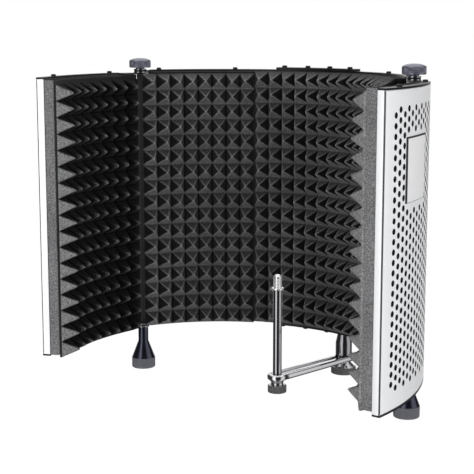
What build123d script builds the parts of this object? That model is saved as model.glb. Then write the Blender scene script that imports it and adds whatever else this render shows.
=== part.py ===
"""Curved three-panel foam shield round a microphone post, one STEP file per piece.

Z is up with the feet on z = 0, and the origin lies under the left hinge rod. The centre panel
curves round behind the microphone post on the +Y side. The wings hang on the two hinge rods
and reach forward to -Y, the left one on the -X side. Foam faces inward, sheet metal outward.
"""
from build123d import *
import os
from math import sin, cos, radians, degrees, asin, atan2, hypot, sqrt

os.makedirs("parts", exist_ok=True)

# ---------------------------------------------------------------- driving sizes (mm, degrees)
SIDES = {"left": -1, "right": 1}     # direction of each side along X

panel_h = 300.0          # height of every shell
centre_z0 = 55.5         # underside of the centre shell
wing_drop = 3.0          # wings hang lower so their hinge plates pass under

sheet_t = 1.2            # sheet metal of the shells
tray_depth = 8.8         # depth of the folded shell tray
centre_slab_t = 12.5     # foam slab in front of the tray
wing_slab_t = {"left": 10.6, "right": 12.5}
wing_slab_lift = {"left": -0.9, "right": 2.1}   # height of each slab front against its tray
soft_gap = 0.2           # clearance round soft parts
cap_t = 2.0              # edge caps
cap_w = 8.8
plate_t = 1.5            # hinge plates

# centre panel arc
centre_front_r = 181.0   # inner face of the slab
centre_arc_y = -94.0     # centre of the arc
hinge_x = 177.5          # half the spacing of the hinge rods
hinge_clear = 7.5        # from a hinge axis to the panel ends

# wing panel arc
wing_outer_r = 286.5
wing_inset = 15.6        # hinge axis inside the outer arc
wing_len = 173.0         # hinge axis to free outer corner
wing_open = {"left": 1.0, "right": 18.4}        # degrees each wing is swung outward

# ---------------------------------------------------------------- derived places
mid_x = hinge_x          # middle plane
centre_outer_r = centre_front_r + tray_depth + centre_slab_t
wing_front_r = {side: wing_outer_r - tray_depth - t for side, t in wing_slab_t.items()}
wing_z0 = centre_z0 - wing_drop
centre_top = centre_z0 + panel_h
wing_top = wing_z0 + panel_h

hinge_deg = degrees(atan2(hinge_x, -centre_arc_y))
hinge_r = hypot(hinge_x, centre_arc_y)
centre_end = hinge_deg - degrees(asin(hinge_clear / hinge_r))

# The wing frame has the hinge axis at its origin and the free outer corner at (0, -wing_len);
# the wing arc is centred at (-wing_arc_x, -wing_arc_y) in it.
wing_axis_r = wing_outer_r - wing_inset
wing_arc_y = (wing_axis_r ** 2 - wing_outer_r ** 2 + wing_len ** 2) / (2 * wing_len)
wing_arc_x = sqrt(wing_axis_r ** 2 - wing_arc_y ** 2)
wing_free = degrees(atan2(wing_arc_y - wing_len, wing_arc_x))
wing_axis = degrees(atan2(wing_arc_y, wing_arc_x))
wing_end = wing_axis - degrees(asin(hinge_clear / wing_axis_r))


# ---------------------------------------------------------------- plan geometry helpers
def centre_pt(r, angle):
    """Plan point of the centre panel: radius and angle from +Y towards +X."""
    return (mid_x + r * sin(radians(angle)), centre_arc_y + r * cos(radians(angle)))


def wing_pt(side):
    """Function giving plan points of one wing by radius and angle about its arc centre."""
    swing = radians(wing_open[side])

    def place(r, angle):
        x = -wing_arc_x + r * cos(radians(angle))
        y = -wing_arc_y + r * sin(radians(angle))
        return (mid_x + SIDES[side] * (x * cos(swing) - y * sin(swing) + hinge_x),
                x * sin(swing) + y * cos(swing))

    return place


wing_place = {side: wing_pt(side) for side in SIDES}


def arc_deg(length, r):
    """Angle in degrees of an arc length on radius r."""
    return degrees(length / r)


def sector(place, inner_r, outer_r, start, end, bevel=0.0):
    """Flat ring sector; bevel shortens the inner arc at both ends by that many mm."""
    cut = degrees(bevel / inner_r)
    middle = (start + end) / 2
    with BuildSketch(mode=Mode.PRIVATE) as sketch:
        with BuildLine():
            ThreePointArc(place(outer_r, start), place(outer_r, middle), place(outer_r, end))
            Line(place(outer_r, end), place(inner_r, end - cut))
            ThreePointArc(place(inner_r, end - cut), place(inner_r, middle),
                          place(inner_r, start + cut))
            Line(place(inner_r, start + cut), place(outer_r, start))
        make_face()
    return sketch.sketch


def polygon(*points):
    with BuildSketch(mode=Mode.PRIVATE) as sketch:
        with BuildLine():
            Polyline(*points, close=True)
        make_face()
    return sketch.sketch


def turned(profile, at):
    """Solid of revolution from (radius, z) points about a vertical axis at (x, y)."""
    with BuildPart(mode=Mode.PRIVATE) as body:
        with BuildSketch(Plane.XZ):
            with BuildLine():
                Polyline(*profile, close=True)
            make_face()
        revolve(axis=Axis.Z)
    return body.part.moved(Location((at[0], at[1], 0)))


def curved_sheet(place, inner_r, outer_r, start, end, z0, height, bevel=0.0):
    """Upright sheet following a panel arc."""
    with BuildPart(mode=Mode.PRIVATE) as sheet:
        with BuildSketch(Plane.XY.offset(z0)):
            add(sector(place, inner_r, outer_r, start, end, bevel))
        extrude(amount=height)
    return sheet.part


parts = {}               # finished solids by file name

# ---------------------------------------------------------------- screw places
screw_r = 1.5
screw_hole_r = 1.6
screw_inset = 5.0        # screw line inside the outer arc
bracket_mid = 1.2        # middle of both brackets, degrees on the centre arc
bracket_half = 15.7      # half their sweep, degrees
bracket_pitch = 8.65     # bracket screw spacing, degrees

centre_screws = [centre_pt(centre_outer_r - screw_inset, angle)
                 for angle in (-55.7, -29.2, 35.0, 55.7)]
bracket_screws = [centre_pt(centre_outer_r - screw_inset, bracket_mid + k * bracket_pitch)
                  for k in (-1.5, -0.5, 0.5, 1.5)]
centre_holes = centre_screws + bracket_screws
# wing screws by arc length from the free end
wing_holes = {side: [wing_place[side](wing_outer_r - screw_inset,
                                      wing_free + arc_deg(length, wing_outer_r))
                     for length in (35.0, 141.0)]
              for side in SIDES}

# ---------------------------------------------------------------- shells and foam slabs
cut_over = 0.1           # overshoot of cuts past a face
pocket_r = 2.1           # slab pockets for the screw tips
pocket_depth = 4.0
trim_h = 5.0             # height of the block that trims a lifted slab
trim_over = 1.0          # its overshoot, mm in radius and degrees at the end
wing_relief = 19.5       # trimmed length at the hinge end of the wing slabs


def tray(place, outer_r, start, end, z0, holes):
    """Folded tray: outer sheet, end flanges, then drilled bottom and top flanges."""
    edge = arc_deg(sheet_t, outer_r)
    inner_r = outer_r - tray_depth
    lap_r = outer_r - sheet_t / 2
    flange_levels = (z0, z0 + panel_h - sheet_t)
    with BuildPart(mode=Mode.PRIVATE) as shell:
        with BuildSketch(Plane.XY.offset(z0)):
            add(sector(place, outer_r - sheet_t, outer_r, start, end))
        extrude(amount=panel_h)
        with BuildSketch(Plane.XY.offset(z0)):
            add(sector(place, inner_r, lap_r, start, start + edge))
            add(sector(place, inner_r, lap_r, end - edge, end))
        extrude(amount=panel_h)
        for z in flange_levels:
            with BuildSketch(Plane.XY.offset(z)):
                add(sector(place, inner_r, lap_r, start + edge / 2, end - edge / 2))
            extrude(amount=sheet_t)
        for z in flange_levels:
            with BuildSketch(Plane.XY.offset(z - cut_over)):
                with Locations(*holes):
                    Circle(screw_hole_r)
            extrude(amount=sheet_t + 2 * cut_over, mode=Mode.SUBTRACT)
    return shell.part


def slab(place, front_r, outer_r, start, end, z0, holes, lift=0.0, relief=None):
    """Foam slab: front layer, the layer that fills the tray, and pockets for screw tips.

    lift moves the front layer up; from angle relief to end it is trimmed level with the tray
    for the hinge plates."""
    step_r = outer_r - tray_depth - soft_gap
    edge = arc_deg(sheet_t + soft_gap, outer_r)
    with BuildPart(mode=Mode.PRIVATE) as foam:
        with BuildSketch(Plane.XY.offset(z0 + soft_gap + lift)):
            add(sector(place, front_r, step_r, start, end))
        extrude(amount=panel_h - 2 * soft_gap)
        if lift:
            trim_z = z0 + panel_h - soft_gap if lift > 0 else z0 + soft_gap - trim_h
            with BuildSketch(Plane.XY.offset(trim_z)):
                add(sector(place, front_r - trim_over, step_r + trim_over,
                           relief, end + trim_over))
            extrude(amount=trim_h, mode=Mode.SUBTRACT)
        with BuildSketch(Plane.XY.offset(z0 + sheet_t + soft_gap)):
            # starts 1 mm inside the front layer so that the two fuse
            add(sector(place, step_r - 1.0, outer_r - sheet_t - soft_gap,
                       start + edge, end - edge))
        extrude(amount=panel_h - 2 * (sheet_t + soft_gap))
        for z in (z0 + sheet_t, z0 + panel_h - sheet_t - pocket_depth):
            with BuildSketch(Plane.XY.offset(z)):
                with Locations(*holes):
                    Circle(pocket_r)
            extrude(amount=pocket_depth, mode=Mode.SUBTRACT)
    return foam.part


parts["centre_shell"] = tray(centre_pt, centre_outer_r, -centre_end, centre_end,
                             centre_z0, centre_holes)
parts["centre_foam_slab"] = slab(centre_pt, centre_front_r, centre_outer_r,
                                 -centre_end, centre_end, centre_z0, centre_holes)
for side, place in wing_place.items():
    parts[side + "_shell"] = tray(place, wing_outer_r, wing_free, wing_end,
                                  wing_z0, wing_holes[side])
    parts[side + "_foam_slab"] = slab(
        place, wing_front_r[side], wing_outer_r, wing_free, wing_end, wing_z0, wing_holes[side],
        lift=wing_slab_lift[side], relief=wing_end - arc_deg(wing_relief, wing_outer_r))

# ---------------------------------------------------------------- pyramid foam sheets
# Each sheet is a plain envelope over its base skin and pyramids.
row_pitch = 17.5
rows = 17
sheet_h = rows * row_pitch
foam_depth = 18.6        # centre sheets, base skin plus pyramids
foam_bevel = 8.4
sheets_half = 64.0       # degrees; the centre sheets overhang the shell ends over the hinge gap
seam = 0.25              # degrees between neighbouring centre sheets
wing_foam_depth = {"left": 20.5, "right": 21.3}
wing_foam_bevel = 9.5
wing_foam_margin = 0.5   # set back from the free end, mm
wing_sheet_end = 10.6    # hinge-side end of the wing sheets, degrees on the wing arc

third = 2 * sheets_half / 3
for k, (name, sheet_top) in enumerate((("left", 353.0), ("mid", 355.4), ("right", 355.4))):
    start = -sheets_half + k * third + (seam / 2 if k > 0 else 0)
    end = -sheets_half + (k + 1) * third - (seam / 2 if k < 2 else 0)
    parts["centre_foam_" + name] = curved_sheet(
        centre_pt, centre_front_r - foam_depth, centre_front_r - soft_gap, start, end,
        sheet_top - sheet_h, sheet_h, foam_bevel)

for side, sheet_top in (("left", 347.0), ("right", 350.8)):
    front_r = wing_front_r[side]
    parts[side + "_foam_pyramids"] = curved_sheet(
        wing_place[side], front_r - wing_foam_depth[side], front_r - soft_gap,
        wing_free + arc_deg(wing_foam_margin, front_r), wing_sheet_end,
        sheet_top - sheet_h, sheet_h, wing_foam_bevel)

# ---------------------------------------------------------------- edge caps
centre_cap_end = centre_end - arc_deg(4.4, centre_outer_r)   # caps stop short of the hinges
wing_cap_end = wing_end - arc_deg(19.0, wing_outer_r)


def cap(place, outer_r, start, end, z0, holes):
    with BuildPart(mode=Mode.PRIVATE) as strip:
        with BuildSketch(Plane.XY.offset(z0)):
            add(sector(place, outer_r - cap_w, outer_r, start, end))
            with Locations(*holes):
                Circle(screw_hole_r, mode=Mode.SUBTRACT)
        extrude(amount=cap_t)
    return strip.part


for level, z in (("top", centre_top), ("bottom", centre_z0 - cap_t)):
    parts["centre_" + level + "_cap"] = cap(centre_pt, centre_outer_r, -centre_cap_end,
                                            centre_cap_end, z, centre_holes)
for side, place in wing_place.items():
    for level, z in (("top", wing_top), ("bottom", wing_z0 - cap_t)):
        parts[side + "_" + level + "_cap"] = cap(place, wing_outer_r, wing_free,
                                                 wing_cap_end, z, wing_holes[side])

# ---------------------------------------------------------------- hinge plates
rod_r = 4.0
run_fit = 0.05           # radial play round rods and studs
bore_r = rod_r + run_fit
eye_r = 7.0
plate_lap = 1.0          # degrees the tongue runs back into the plate body


def hinge_plate(place, body_radii, body_start, body_end, eye_deg, eye_at_r, tongue_radii, z0):
    """Plate body along the panel end, with a tongue out to an eye round the hinge rod."""
    inner_r, outer_r = body_radii
    tongue_in, tongue_out = tongue_radii
    back = body_end - (plate_lap if body_end > body_start else -plate_lap)
    with BuildPart(mode=Mode.PRIVATE) as plate:
        with BuildSketch(Plane.XY.offset(z0)):
            add(sector(place, inner_r, outer_r,
                       min(body_start, body_end), max(body_start, body_end)))
            add(polygon(place(inner_r, back), place(outer_r, back),
                        place(tongue_out, eye_deg), place(tongue_in, eye_deg)))
            with Locations(place(eye_at_r, eye_deg)):
                Circle(eye_r)
                Circle(bore_r, mode=Mode.SUBTRACT)
        extrude(amount=plate_t)
    return plate.part


for side, sign in SIDES.items():
    for level, z in (("top", centre_top), ("bottom", centre_z0 - plate_t)):
        parts["centre_plate_" + side + "_" + level] = hinge_plate(
            centre_pt,
            body_radii=(centre_outer_r - 11.0, centre_outer_r - 0.4),
            body_start=sign * (centre_cap_end + 0.1),
            body_end=sign * (centre_end - 0.05),
            eye_deg=sign * hinge_deg,
            eye_at_r=hinge_r,
            tongue_radii=(hinge_r - eye_r + 0.3, hinge_r + 5.0),
            z0=z)
    for level, z in (("top", wing_top), ("bottom", wing_z0 - plate_t)):
        parts[side + "_plate_" + level] = hinge_plate(
            wing_place[side],
            body_radii=(wing_front_r[side] + 1.0, wing_outer_r - 3.0),
            body_start=wing_cap_end + 0.08,
            body_end=wing_end - 0.03,
            eye_deg=wing_axis,
            eye_at_r=wing_axis_r,
            tongue_radii=(wing_axis_r - eye_r + 0.4, wing_axis_r + eye_r - 0.4),
            z0=z)

# ---------------------------------------------------------------- screws
head_fillet = 0.8
socket_r = 1.25          # hexagon socket, to its corners
socket_depth = 1.1
bracket_t = 2.5
top_bracket_z = centre_top + cap_t
bottom_bracket_z = centre_z0 - cap_t - bracket_t


def pan_screws(points, z_face, up, shank, head_r, head_h):
    """Pan-head screws whose heads sit on z_face; up is +1 for heads above it, -1 below."""
    crown = z_face + up * head_h
    with BuildPart(mode=Mode.PRIVATE) as screws:
        with BuildSketch(Plane.XY.offset(z_face)):
            with Locations(*points):
                Circle(head_r)
        extrude(amount=up * head_h)
        circles = screws.edges().filter_by(GeomType.CIRCLE)
        fillet([e for e in circles if abs(e.center().Z - crown) < 0.01], head_fillet)
        with BuildSketch(Plane.XY.offset(crown - up * socket_depth)):
            with Locations(*points):
                RegularPolygon(socket_r, 6)
        extrude(amount=up * (socket_depth + cut_over), mode=Mode.SUBTRACT)
        with BuildSketch(Plane.XY.offset(z_face)):
            with Locations(*points):
                Circle(screw_r)
        extrude(amount=-up * shank)
    return screws.part


def screw_set(points, top_face, bottom_face, shank=4.6, head_r=2.75, head_h=2.2):
    """The same screws driven down from the top face and up from the bottom face."""
    with BuildPart() as screws:
        add(pan_screws(points, top_face, 1, shank, head_r, head_h))
        add(pan_screws(points, bottom_face, -1, shank, head_r, head_h))
    return screws.part


parts["centre_cap_screws"] = screw_set(centre_screws, centre_top + cap_t, centre_z0 - cap_t)
for side in SIDES:
    parts[side + "_cap_screws"] = screw_set(wing_holes[side], wing_top + cap_t, wing_z0 - cap_t)
parts["bracket_screws"] = screw_set(bracket_screws, top_bracket_z + bracket_t, bottom_bracket_z,
                                    shank=7.0, head_r=3.0, head_h=2.3)

# ---------------------------------------------------------------- brackets
post_at = (mid_x + 37.0, 112.1)      # stand post axis
post_hole_r = 3.1


def bracket(outer_r, z0, corner_r, post_hole):
    """Curved bracket screwed over the centre cap, optionally bored for the post screw."""
    with BuildPart() as plate:
        with BuildSketch(Plane.XY.offset(z0)):
            add(sector(centre_pt, 191.5, outer_r,
                       bracket_mid - bracket_half, bracket_mid + bracket_half))
            with Locations(*bracket_screws):
                Circle(screw_hole_r, mode=Mode.SUBTRACT)
            if post_hole:
                with Locations(post_at):
                    Circle(post_hole_r, mode=Mode.SUBTRACT)
        extrude(amount=bracket_t)
        fillet(plate.edges().filter_by(Axis.Z).filter_by(GeomType.LINE), corner_r)
    return plate.part


parts["top_bracket"] = bracket(206.0, top_bracket_z, corner_r=3.0, post_hole=False)
parts["bottom_bracket"] = bracket(220.0, bottom_bracket_z, corner_r=5.0, post_hole=True)

# ---------------------------------------------------------------- slotted arm
mic_at = (mid_x + 15.4, -0.9)        # microphone post axis
arm_z0 = 14.4
arm_t = 7.0
arm_w = 21.0
arm_top = arm_z0 + arm_t
arm_end_r = 11.4         # round end at the microphone post
arm_tail = 24.0          # arm beyond the stand post axis
arm_rim = 2.2            # edge rounding
slot_w = 6.4
slot_start = -0.6        # slot end centre, from the microphone post axis
slot_past_post = 13.0    # other slot end centre, beyond the stand post axis


def make_mic_arm():
    """Flat arm from the microphone post back past the stand post."""
    run_x = post_at[0] - mic_at[0]
    run_y = post_at[1] - mic_at[1]
    span = hypot(run_x, run_y)
    plane = Plane(origin=(mic_at[0], mic_at[1], arm_z0),
                  x_dir=(run_x / span, run_y / span, 0), z_dir=(0, 0, 1))
    far_x = span + arm_tail - arm_w / 2
    slot_end = span + slot_past_post
    with BuildPart() as arm:
        with BuildSketch(plane):
            with Locations((far_x / 2, 0)):
                Rectangle(far_x, arm_w)
            Circle(arm_end_r)
            with Locations((far_x, 0)):
                Circle(arm_w / 2)
        extrude(amount=arm_t)
        rims = [e for e in arm.edges()
                if abs(e.center().Z - arm_z0) < 0.01 or abs(e.center().Z - arm_top) < 0.01]
        fillet(rims, arm_rim)
        with BuildSketch(plane):
            with Locations(((slot_start + slot_end) / 2, 0)):
                SlotCenterToCenter(slot_end - slot_start, slot_w)
        extrude(amount=arm_t, mode=Mode.SUBTRACT)
    return arm.part


parts["mic_arm"] = make_mic_arm()

# ---------------------------------------------------------------- posts, all (radius, z) outlines
stud_r = 3.0
stud_bore_r = stud_r + run_fit
post_z0 = arm_top + 1.0              # a 1 mm washer lies between arm and stand post
bracket_face = bottom_bracket_z + bracket_t

parts["stand_post"] = turned([
    (stud_bore_r, post_z0), (9.3, post_z0), (9.75, post_z0 + 0.5), (9.75, 37.5), (7.6, 47.5),
    (7.3, bottom_bracket_z), (stud_bore_r, bottom_bracket_z)], post_at)
# screw down into the post, its head on the bottom bracket
parts["post_screw"] = turned([
    (0, 38.0), (2.5, 38.0), (stud_r, 38.5), (stud_r, bracket_face), (4.6, bracket_face),
    (4.6, bracket_face + 2.0), (3.8, bracket_face + 2.8), (0, bracket_face + 2.8)], post_at)
parts["arm_stud"] = turned([
    (0, 2.0), (2.6, 2.0), (stud_r, 2.4), (stud_r, 33.0), (0, 33.0)], post_at)
parts["arm_washer"] = turned([
    (stud_bore_r, arm_top), (9.6, arm_top), (9.6, post_z0), (stud_bore_r, post_z0)], post_at)
# stud through the arm, then the post with a blind bore in its top
parts["mic_post"] = turned([
    (0, 2.0), (2.6, 2.0), (stud_r, 2.4), (stud_r, arm_top), (5.0, arm_top), (5.0, 117.4),
    (4.4, 118.0), (2.55, 118.0), (2.55, 110.0), (0, 110.0)], mic_at)
# shank in the bore, collar, and a 3/8 inch diameter tip
parts["mic_tip"] = turned([
    (0, 110.5), (2.5, 110.5), (2.5, 118.0), (6.3, 118.0), (6.7, 118.4), (6.7, 119.6),
    (6.3, 120.0), (4.7625, 120.0), (4.7625, 132.2), (3.6, 134.4), (1.6, 135.2), (0, 135.3)],
    mic_at)

# ---------------------------------------------------------------- thumb nuts under the arm
flute_r = 0.55
flute_depth = 0.35


def fluted(profile, at, rim_r, z0, z1, count):
    """Turned body with shallow upright flutes cut round its rim between z0 and z1."""
    with BuildPart(mode=Mode.PRIVATE) as knob:
        add(turned(profile, at))
        with BuildSketch(Plane(origin=(at[0], at[1], z0))):
            with PolarLocations(rim_r + flute_r - flute_depth, count):
                Circle(flute_r)
        extrude(amount=z1 - z0, mode=Mode.SUBTRACT)
    return knob.part


parts["arm_knob"] = fluted([
    (stud_bore_r, 1.0), (13.9, 0.0), (14.8, 0.8), (14.8, 7.6), (14.2, 8.3), (13.6, 8.4),
    (8.2, 13.4), (8.0, arm_z0), (stud_bore_r, arm_z0)],
    post_at, rim_r=14.8, z0=0.9, z1=7.5, count=60)
parts["mic_knob"] = fluted([
    (stud_bore_r, 1.0), (9.9, 0.0), (10.6, 0.7), (10.6, 7.9), (10.0, 8.5), (7.4, 8.5),
    (7.0, 9.0), (7.0, 11.0), (7.6, 12.6), (8.4, arm_z0), (stud_bore_r, arm_z0)],
    mic_at, rim_r=10.6, z0=0.8, z1=7.8, count=48)

# ---------------------------------------------------------------- hinge rods, washers, knobs, feet
rod_z0, rod_z1 = 16.0, 366.0
rod_chamfer = 0.4
rod_end_gap = 0.6        # bore depth beyond each rod end
washer_r = 7.25
washer_t = 1.5
washer_chamfer = 0.2
foot_top = wing_z0 - plate_t - washer_t
knob_z0 = centre_top + plate_t + washer_t
foot_bore_z = rod_z0 - rod_end_gap
knob_bore_z = rod_z1 + rod_end_gap

rod_outline = [
    (0, rod_z0), (rod_r - rod_chamfer, rod_z0), (rod_r, rod_z0 + rod_chamfer),
    (rod_r, rod_z1 - rod_chamfer), (rod_r - rod_chamfer, rod_z1), (0, rod_z1)]
knob_outline = [
    (bore_r, knob_z0), (5.25, knob_z0), (5.25, 360.0), (11.8, 360.0), (12.4, 360.7),
    (12.5, 361.0), (12.5, 367.6), (11.9, 368.6), (9.0, 370.0), (4.5, 370.8), (0, 371.0),
    (0, knob_bore_z), (bore_r, knob_bore_z)]
foot_outline = [
    (0, 0.0), (13.2, 0.0), (14.0, 0.9), (14.0, 12.0), (13.6, 12.6), (6.3, 31.8), (6.0, 33.0),
    (6.0, foot_top), (bore_r, foot_top), (bore_r, foot_bore_z), (0, foot_bore_z)]


def hinge_washers(at):
    """Washers under and over the wing plates, and over the centre top plate."""
    rim = washer_r - washer_chamfer
    with BuildPart() as washers:
        for z0 in (foot_top, wing_z0, wing_top + plate_t, centre_top + plate_t):
            z1 = z0 + washer_t
            add(turned([(bore_r, z0), (rim, z0), (washer_r, z0 + washer_chamfer),
                        (washer_r, z1 - washer_chamfer), (rim, z1), (bore_r, z1)], at))
    return washers.part


for side, sign in SIDES.items():
    hinge_at = (mid_x + sign * hinge_x, 0.0)
    parts["hinge_rod_" + side] = turned(rod_outline, hinge_at)
    parts["hinge_washers_" + side] = hinge_washers(hinge_at)
    parts["hinge_knob_" + side] = fluted(knob_outline, hinge_at,
                                         rim_r=12.5, z0=360.9, z1=367.7, count=60)
    parts["foot_" + side] = fluted(foot_outline, hinge_at,
                                   rim_r=14.0, z0=1.0, z1=11.8, count=64)

# ---------------------------------------------------------------- badge plate
# on the outside of the right wing, between two arc lengths from its free end
badge_t = 0.6
badge_start, badge_end = (wing_free + arc_deg(length, wing_outer_r) for length in (42.0, 100.0))
parts["badge_plate"] = curved_sheet(wing_place["right"], wing_outer_r, wing_outer_r + badge_t,
                                    badge_start, badge_end, z0=246.0, height=62.0)

# ---------------------------------------------------------------- label and export
for name, part in parts.items():
    # adding to a fresh part leaves no location on the exported compound
    with BuildPart() as piece:
        add(part)
    piece.part.label = name
    export_step(piece.part, "parts/" + name + ".step")
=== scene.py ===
# A folding foam screen: a curved centre panel and two hinged wings, each a perforated silver
# shell lined with foam, around a microphone post on a slotted arm.
# Lengths are mm unless noted. X runs right, Y to the back, Z up, and the floor is z = 0.
# The foam faces the front (-Y). The left hinge axis stands on x = 0, y = 0.
import math
from collections import namedtuple

import bpy
import numpy as np
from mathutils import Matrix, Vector


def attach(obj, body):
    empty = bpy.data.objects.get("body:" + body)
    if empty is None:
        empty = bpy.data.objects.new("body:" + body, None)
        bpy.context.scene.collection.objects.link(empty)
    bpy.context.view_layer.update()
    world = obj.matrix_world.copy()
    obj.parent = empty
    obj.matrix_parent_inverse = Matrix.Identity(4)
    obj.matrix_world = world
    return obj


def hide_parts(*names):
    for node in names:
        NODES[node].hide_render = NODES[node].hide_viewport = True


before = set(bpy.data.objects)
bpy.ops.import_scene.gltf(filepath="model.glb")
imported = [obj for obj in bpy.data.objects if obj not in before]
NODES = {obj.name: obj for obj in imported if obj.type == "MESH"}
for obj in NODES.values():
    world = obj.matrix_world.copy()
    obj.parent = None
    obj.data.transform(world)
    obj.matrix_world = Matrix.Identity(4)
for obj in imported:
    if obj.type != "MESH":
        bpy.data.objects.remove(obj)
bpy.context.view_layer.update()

MM = 0.001
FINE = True
SIDES = (("left", -1), ("right", 1))

# ---------------------------------------------------------------- plan geometry
HINGE = 177.5                   # hinge axis from the middle plane, in x
MID = HINGE                     # x of the middle plane
HINGE_GAP = 7.5                 # panel end to hinge axis
PANEL_H = 300.0

CENTRE_Y = -94.0                # y of the centre panel's arc centre
CENTRE_FRONT, CENTRE_OUT = 181.0, 202.3  # radii of the foam slab's face and the shell
CENTRE_Z = 55.5                 # bottom of the centre panel
CENTRE_END = (math.degrees(math.atan2(HINGE, -CENTRE_Y))
              - math.degrees(math.asin(HINGE_GAP / math.hypot(HINGE, CENTRE_Y))))

WING_OUT = 286.5                # shell radius
WING_FRONT = {"left": 267.1, "right": 265.2}  # radius of the foam slab's face
WING_LIFT = {"left": -0.9, "right": 2.1}      # shift of the foam slab's ends in z
WING_OPEN = {"left": 1.0, "right": 18.4}      # swing about the hinge, degrees
WING_Z = 52.5
WING_SHEET_END = 10.6           # hinge-side end of the pyramid sheet, degrees
HINGE_R = WING_OUT - 15.6       # hinge axis from the wing's arc centre
WING_LEN = 173.0                # hinge axis to the free end
# arc centre of a closed wing, measured inwards and forwards from its hinge
WING_IN = math.sqrt(HINGE_R ** 2 - ((HINGE_R ** 2 - WING_OUT ** 2 + WING_LEN ** 2)
                                    / (2 * WING_LEN)) ** 2)
WING_FWD = (HINGE_R ** 2 - WING_OUT ** 2 + WING_LEN ** 2) / (2 * WING_LEN)
WING_FREE = math.degrees(math.atan2(-WING_LEN + WING_FWD, WING_IN))
WING_END = (math.degrees(math.atan2(WING_FWD, WING_IN))
            - math.degrees(math.asin(HINGE_GAP / HINGE_R)))

POST = (MID + 37.0, 112.1)      # stand post behind the centre panel
MIC = (MID + 15.4, -0.9)        # microphone post


def centre_map(radius, angle):
    """x, y on the centre panel; angle in degrees from the middle, positive to the right."""
    angle = np.radians(angle)
    return MID + radius * np.sin(angle), CENTRE_Y + radius * np.cos(angle)


def wing_map(side):
    """The same for a wing; the angle grows from the free end to the hinge."""
    sign = dict(SIDES)[side]
    swing = math.radians(WING_OPEN[side])

    def place(radius, angle):
        angle = np.radians(angle)
        x, y = -WING_IN + radius * np.cos(angle), -WING_FWD + radius * np.sin(angle)
        return (MID + sign * (x * math.cos(swing) - y * math.sin(swing) + HINGE),
                x * math.sin(swing) + y * math.cos(swing))

    return place


def on_arc(place, radius, angle, z):
    """Points (..., 3) from a panel's own coordinates."""
    return np.stack([*place(radius, angle), z], axis=-1)


# ---------------------------------------------------------------- mesh tools
def value_noise(points, size, seed):
    """Smooth noise in -1..1 at points (n, 3) given in mm."""
    scaled = points / size
    cell = np.floor(scaled).astype(np.int64)
    part = scaled - cell
    part = part * part * (3 - 2 * part)

    def corner(dx, dy, dz):
        key = ((cell[:, 0] + dx) * 374761393 + (cell[:, 1] + dy) * 668265263
               + (cell[:, 2] + dz) * 1442695041 + seed * 97531) & 0xFFFFFFFF
        key = ((key ^ (key >> 13)) * 1274126177) & 0xFFFFFFFF
        key = ((key ^ (key >> 15)) * 668265263) & 0xFFFFFFFF
        key = (key ^ (key >> 16)) & 0xFFFFFFFF
        return key / 2147483648.0 - 1.0

    total = 0
    for dx in (0, 1):
        for dy in (0, 1):
            for dz in (0, 1):
                weight = ((part[:, 0] if dx else 1 - part[:, 0])
                          * (part[:, 1] if dy else 1 - part[:, 1])
                          * (part[:, 2] if dz else 1 - part[:, 2]))
                total = total + weight * corner(dx, dy, dz)
    return total


class Build:
    """Collects points, faces and material slot numbers of one piece."""

    def __init__(self):
        self.parts, self.faces, self.slots, self.count = [], [], [], 0

    def add(self, points):
        points = np.asarray(points, float).reshape(-1, 3)
        ids = np.arange(self.count, self.count + len(points))
        self.parts.append(points)
        self.count += len(points)
        return ids

    def face(self, *ids, slot=0):
        self.faces.append(tuple(int(i) for i in ids))
        self.slots.append(slot)

    def points(self):
        return np.vstack(self.parts)

    def bridge(self, ring, other, slot=0):
        """Quads between two closed rings of the same length."""
        for k in range(len(ring)):
            j = (k + 1) % len(ring)
            self.face(ring[k], ring[j], other[j], other[k], slot=slot)


def make(name, build, mats, body, node, face_slots=None, angle=35.0, flip=False):
    """Object from a Build; it rides on a CAD body and replaces a CAD node."""
    mesh = bpy.data.meshes.new(name)
    faces = [face[::-1] for face in build.faces] if flip else build.faces
    mesh.from_pydata((build.points() * MM).tolist(), [], faces)
    for mat in mats:
        mesh.materials.append(mat)
    if face_slots is not None:
        mesh.polygons.foreach_set("material_index", np.asarray(face_slots, np.int32))
    mesh.shade_smooth()
    mesh.update()
    mesh.set_sharp_from_angle(angle=math.radians(angle))
    ob = bpy.data.objects.new(name, mesh)
    bpy.context.scene.collection.objects.link(ob)
    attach(ob, body)
    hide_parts(node)
    return ob


def attribute(ob, name, values):
    layer = ob.data.attributes.new(name, "FLOAT", "POINT")
    layer.data.foreach_set("value", np.asarray(values, np.float32))


def border(nu, nv):
    """Lattice positions once round the border of an nu by nv lattice, as two index arrays."""
    steps = ([(i, 0) for i in range(nu)] + [(nu, j) for j in range(nv)]
             + [(i, nv) for i in range(nu, 0, -1)] + [(0, j) for j in range(nv, 0, -1)])
    return np.array(steps).T


def block(b, surface, us, vs, layers):
    """Closed block on a lattice: layers of (w, u0, u1, v0, v1); the first and last are filled."""
    us, vs = np.asarray(us, float), np.asarray(vs, float)
    nu, nv = len(us) - 1, len(vs) - 1
    rim_i, rim_j = border(nu, nv)
    previous = None
    for k, (w, u0, u1, v0, v1) in enumerate(layers):
        u, v = u0 + (u1 - u0) * us, v0 + (v1 - v0) * vs
        if k in (0, len(layers) - 1):
            grid_u, grid_v = np.meshgrid(u, v, indexing="ij")
            ids = b.add(surface(grid_u.ravel(), grid_v.ravel(), np.full(grid_u.size, w)))
            ids = ids.reshape(nu + 1, nv + 1)
            for i in range(nu):
                for j in range(nv):
                    quad = (ids[i, j], ids[i + 1, j], ids[i + 1, j + 1], ids[i, j + 1])
                    b.face(*(quad if k == 0 else quad[::-1]))
            ring = ids[rim_i, rim_j]
        else:
            ring = b.add(surface(u[rim_i], v[rim_j], np.full(len(rim_i), w)))
        if previous is not None:
            b.bridge(ring, previous)
        previous = ring


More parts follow.
